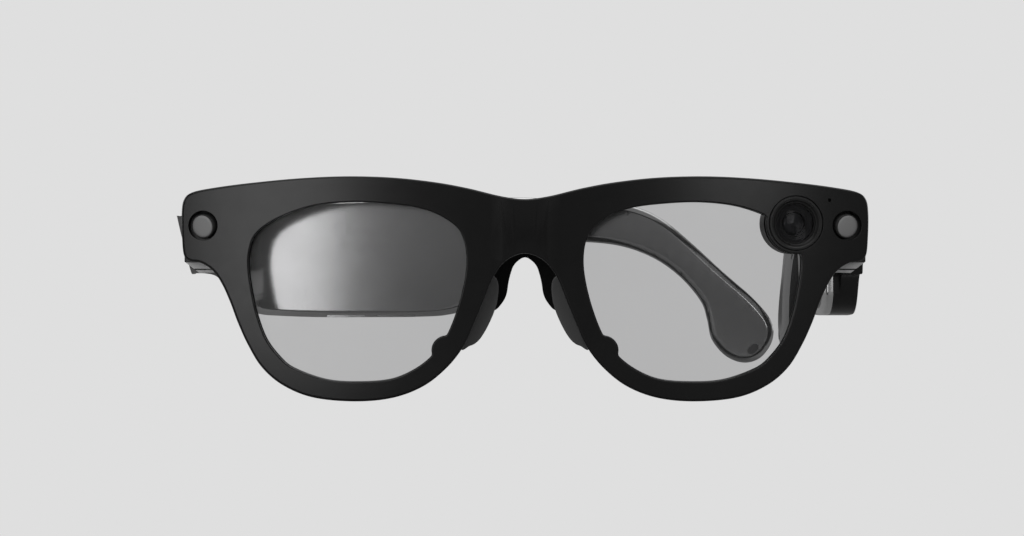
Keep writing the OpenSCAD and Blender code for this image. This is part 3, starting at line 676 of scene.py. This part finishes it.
for name, s in (("left", 1), ("right", -1)):
    axis = into(s * (TRACK_CAM[0] + TRACK_OFF[0]), TRACK_CAM[1] + TRACK_OFF[1], *TRACK_TILT)
    body = lathed("tracker_body_" + name, [
        (2.62, 4.6), (2.62, 0.7), (2.55, 0.52), (2.42, 0.5), (2.4, 1.1), (0, 1.1), (0, 4.6)], axis, 64, 30)
    collar = turned(rod(3.1, 2.9, 4.6), into(s * TRACK_CAM[0], TRACK_CAM[1], *TRACK_TILT), 64)
    smoothed(combined(body, [collar], "UNION"), 30, weighted=False)
    piece(body, CAM_DARK, "front", ["tracking_camera_" + name])
    disc = [(0, 0.3), (1.2, 0.33), (1.9, 0.37), (2.26, 0.43), (2.36, 0.55), (2.38, 1.0), (0, 1.0)]
    window = lathed("tracker_window_" + name, disc, axis, 64, 50)
    piece(window, WINDOW, "front", ["tracking_window_" + name])
    axis = into(s * EYE_CAM[0], EYE_CAM[1]) @ Matrix.Translation((0, 0, FRAME_D))
    eye = lathed("eye_tracker_" + name, [
        (0, -0.3), (2.4, -0.3), (2.4, 0.65), (2.25, 0.8), (1.8, 0.8), (1.8, 2.45), (1.65, 2.6), (1.15, 2.6),
        (1.1, 2.5), (1.1, 2.15), (0.7, 2.3), (0, 2.38)], axis, 48, 30)
    piece(eye, CAM_BLACK, "front", ["eye_camera_" + name])

# ---------------------------------------------------------------- nose pads

PAD_LINE = [
    (13.6, 12), (11.8, 11.8), (10.3, 12.6), (9, 14.2), (7.7, 16.6), (6.6, 19.2), (5.9, 21.8), (5.7, 24.8),
    (6.5, 26.6), (8.4, 26.4),
]
PAD_Y, PAD_SCREW = (4.9, 9.95), (7.4, 8.0, 14.1)
SADDLE_Y = (10.02, 14.4)
SADDLE_TOP = [(0, 33.8), (3.4, 32.6), (6.2, 29.3), (7.8, 24.5), (8.6, 19.3)]
SADDLE_UNDER = [(6.6, 19.0), (5.1, 20.6), (4, 22.4), (3.5, 26), (2.5, 29.3), (0, 31.2)]

for name, s in (("left", 1), ("right", -1)):
    bm = plate_mesh(
        spaced(closed_line(PAD_LINE, 6), FINE_STEP), rounded(*PAD_Y, 0.2, 0.9, 6),
        place=lambda v: Vector((s * v[0], v[2], v[1] - ARCH_Z)) * MM)
    pad = scratch("pad_" + name, bm)
    m = Matrix.Translation((s * PAD_SCREW[0], PAD_SCREW[1], PAD_SCREW[2] - ARCH_Z))
    combined(pad, [turned(rod(1.1, 0, 3.2), m @ Matrix.Rotation(s * math.pi / 2, 4, "Y"), 32)], "DIFFERENCE")
    smoothed(pad)
    piece(pad, PAD, "front", ["pad_holder_" + name])

saddle_line = mirrored(SADDLE_TOP[1:]) + SADDLE_TOP + SADDLE_UNDER + mirrored(SADDLE_UNDER[:-1])
saddle_line = averaged(spaced(saddle_line, FINE_STEP), 4)
saddle = made("nose_saddle_soft", plate_mesh(
    saddle_line, rounded(*SADDLE_Y, 0.5, 1.1, 6), place=lambda v: Vector((v[0], v[2], v[1] - ARCH_Z)) * MM))
piece(saddle, SOFT, "front", ["nose_saddle"])

# ---------------------------------------------------------------- temples

temple_line = spaced(closed_line(TEMPLE, 8), LONG_STEP)
inner_line = spaced([q for q in temple_line if q[0] > 2.35], LONG_STEP)  # stops short of the hinge
hollow_line = spaced(closed_line(HOLLOW, 4), 1.0)
STEPS_R = [r * 3.0 for r in range(-3, 42)]  # the shells are cut here, so that their faces can taper
FLOOR_X, ROOF_X, WALL = -0.3, 5.0, 1.2  # the hollow's inner face, its outermost face, and the wall outside it
VENTS, VENT_L = (24, 35), 8.7  # where the speaker's two openings start, and how long they are
CONTROL_SLOTS = {"right": ((3, 21), 10.4, 3.0), "left": ((3, 23), 8.4, 2.6)}  # centre, length and width
SLOT_Z = (38.5, 46)
outer_edge = [(0.16, SPLIT + 0.01), (0.12, SPLIT + 0.05), (0.02, SPLIT + 0.13)]
outer_edge += rounded(SPLIT + 0.2, OUTER_X, 0, 0.35, 4)[1:]
inner_edge = [
    (1.5, INNER_X), (1.28, -1.47), (1.12, -1.4), (0.45, -0.92), (0.2, -0.72), (0.06, -0.5), (0, -0.25),
    (0, SPLIT - 0.14), (0.04, SPLIT - 0.05), (0.16, SPLIT - 0.01),
]


def box_cut(low, high):
    """Box between two (distance behind the hinge, height, distance outside it) corners."""
    bm = boxed(low, high)
    for v in bm.verts:
        v.co = on_left(v.co[2], v.co[0], v.co[1])
    return scratch("cut", bm)


def leaf_cut():
    """Room for the hinge's leaf, in both shells."""
    return box_cut((2.2, LEAF_Z[0], -0.55), (9.05, LEAF_Z[1], 1.95))


def pill_cut(centre, length, width):
    """Upright slot through the top, with its length along the temple."""
    line = []
    for i in range(32):
        a = 2 * math.pi * i / 32
        shift = (length - width) / 2 * (1 if math.cos(a) > 0 else -1)
        line.append((centre[1] + shift + width / 2 * math.cos(a), centre[0] + width / 2 * math.sin(a)))
    bm = bmesh.new()
    rows = wall(bm, [[on_left(px, r, z) for r, px in line] for z in SLOT_Z])
    bm.faces.new(rows[0])
    bm.faces.new(list(reversed(rows[1])))
    return scratch("cut", bm)


def hollow_cut():
    bm = plate_mesh(hollow_line, [(0, FLOOR_X), (0, ROOF_X)], cuts=STEPS_R)
    for v in bm.verts:
        px = FLOOR_X if v.co.z < 0 else min(ROOF_X, along(OUTER, v.co.x) - WALL)
        v.co = on_left(px, v.co.x, v.co.y)
    return scratch("cut", bm)


def folded(o):
    """Mirrors a left shell and folds it in, for the right side."""
    for v in o.data.vertices:
        x, y, z = v.co / MM
        v.co = on_right(x - HINGE_X, y - HINGE_Y, z + ARCH_Z)
    o.data.flip_normals()


for side in ("right", "left"):
    outer = scratch("outer_" + side, plate_mesh(temple_line, outer_edge, cuts=STEPS_R, place=on_temple))
    front_notch = box_cut((-14, 20, -3), (2.3, 46, 2.2))
    combined(outer, [front_notch, hollow_cut(), leaf_cut(), pill_cut(*CONTROL_SLOTS[side])], "DIFFERENCE")
    inner = scratch("inner_" + side, plate_mesh(inner_line, inner_edge, cuts=STEPS_R, place=on_temple))
    vents = [box_cut((start, 16, -0.95), (start + VENT_L, 21.2, -0.4)) for start in VENTS]
    combined(inner, [hollow_cut(), leaf_cut()] + vents, "DIFFERENCE")
    for shell, node, material in ((outer, "temple_outer_", SATIN), (inner, "temple_inner_", TEMPLE_IN)):
        if side == "right":
            folded(shell)
        smoothed(shell)
        piece(shell, material, "temple_" + side, [node + side])

# ---------------------------------------------------------------- finishes of the CAD parts that stay

FINISHES = {
    "microphone": STEEL, "brow_flex": FLEX, "pad_screws": STEEL, "bracket_screws": STEEL,
    "hinge_bracket": STEEL, "hinge_pin": STEEL, "temple_hinge": STEEL, "temple_screws": STEEL,
    "logic_board": BOARD, "battery": CELL, "speaker_mesh": MESH, "speaker": SPEAKER, "temple_core": STEEL,
    "ear_contact": CONTACT, "capture_button": CONTROL, "capture_switch": STEEL,
    "power_slider": CONTROL, "power_switch": STEEL,
}
LONGEST_FIRST = sorted(FINISHES, key=len, reverse=True)
for name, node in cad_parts.items():
    key = next((k for k in LONGEST_FIRST if name.startswith(k)), None)
    if key and not node.hide_render:
        node.data.materials.clear()
        node.data.materials.append(FINISHES[key])
        m = node.modifiers.new("edges", "BEVEL")
        m.width, m.segments = 0.08 * MM, 2
        m.limit_method, m.angle_limit = "ANGLE", math.radians(50)

# ---------------------------------------------------------------- studio

def pale(name, grey, glow):
    """Pale surface that looks even to the camera, and that scatters light on to the object."""
    mat, nodes, links, coord = procedural(name)
    b = nodes["Principled BSDF"]
    drift = noise(nodes, links, coord, 3)
    links.new(ramp(nodes, links, drift, (grey * 0.99,) * 3, (grey,) * 3), b.inputs["Base Color"])
    b.inputs["Roughness"].default_value = 0.9
    b.inputs["Specular IOR Level"].default_value = 0.0
    e = nodes.new("ShaderNodeEmission")
    e.inputs["Color"].default_value = (1, 1, 1, 1)
    e.inputs["Strength"].default_value = glow
    seen = nodes.new("ShaderNodeLightPath").outputs["Is Camera Ray"]
    mixed(nodes, links, seen, b.outputs[0], e.outputs[0], nodes["Material Output"].inputs["Surface"])
    return mat


GLOW, FILL = 0.738, 0.2  # how bright the surroundings are, to the camera and to the object
bm = bmesh.new()
bmesh.ops.create_grid(bm, x_segments=8, y_segments=8, size=6)
floor = scratch("floor", bm)
floor.location = (0, 0, -0.0335)
floor.data.materials.append(pale("floor_pale", 0.35, GLOW))

world = bpy.data.worlds.new("studio")
bpy.context.scene.world = world
world.use_nodes = True
nodes, links = world.node_tree.nodes, world.node_tree.links
seen, fill = nodes["Background"], nodes.new("ShaderNodeBackground")
for background, strength in ((seen, GLOW), (fill, FILL)):
    background.inputs["Color"].default_value = (1, 1, 1, 1)
    background.inputs["Strength"].default_value = strength
to_camera = nodes.new("ShaderNodeLightPath").outputs["Is Camera Ray"]
mixed(nodes, links, to_camera, fill.outputs[0], seen.outputs[0], nodes["World Output"].inputs["Surface"])


def softbox(name, centre, target, width, height, radiance):
    light = bpy.data.lights.new(name, "AREA")
    light.shape, light.size, light.size_y = "RECTANGLE", width, height
    light.energy = radiance * math.pi * width * height  # watts for that radiance
    o = bpy.data.objects.new(name, light)
    o.location = centre
    o.rotation_euler = (Vector(target) - Vector(centre)).to_track_quat("-Z", "Y").to_euler()
    o.visible_camera = False
    bpy.context.scene.collection.objects.link(o)


softbox("left_strip", (-0.1515, -0.2795, 0.1), (-0.0125, -0.0095, 0.1), 0.095, 0.28, 1.85)
softbox("right_strip", (0.133, -0.3, 0.06), (0.03, 0.0, 0.0), 0.06, 0.1, 1.45)
softbox("top", (0.0, -0.05, 0.6), (0, 0, 0), 0.9, 0.5, 0.9)
softbox("side_right", (0.6, 0.3, 0.2), (0, 0.06, 0), 0.5, 0.4, 1.0)
softbox("side_left", (-0.6, 0.3, 0.2), (0, 0.06, 0), 0.5, 0.4, 1.0)
softbox("back", (0.1, 0.75, 0.35), (0, 0.05, 0), 0.8, 0.5, 0.8)

# ---------------------------------------------------------------- camera

bpy.context.scene.view_settings.view_transform = "Standard"
cam = bpy.data.cameras.new("camera")
cam.sensor_width = 36
cam.lens = 99.1
cam.shift_x = -0.0127
camera = bpy.data.objects.new("camera", cam)
camera.location = (0, -0.6, -0.0031)
camera.rotation_euler = (math.pi / 2, 0, 0)
bpy.context.scene.collection.objects.link(camera)
bpy.context.scene.camera = camera
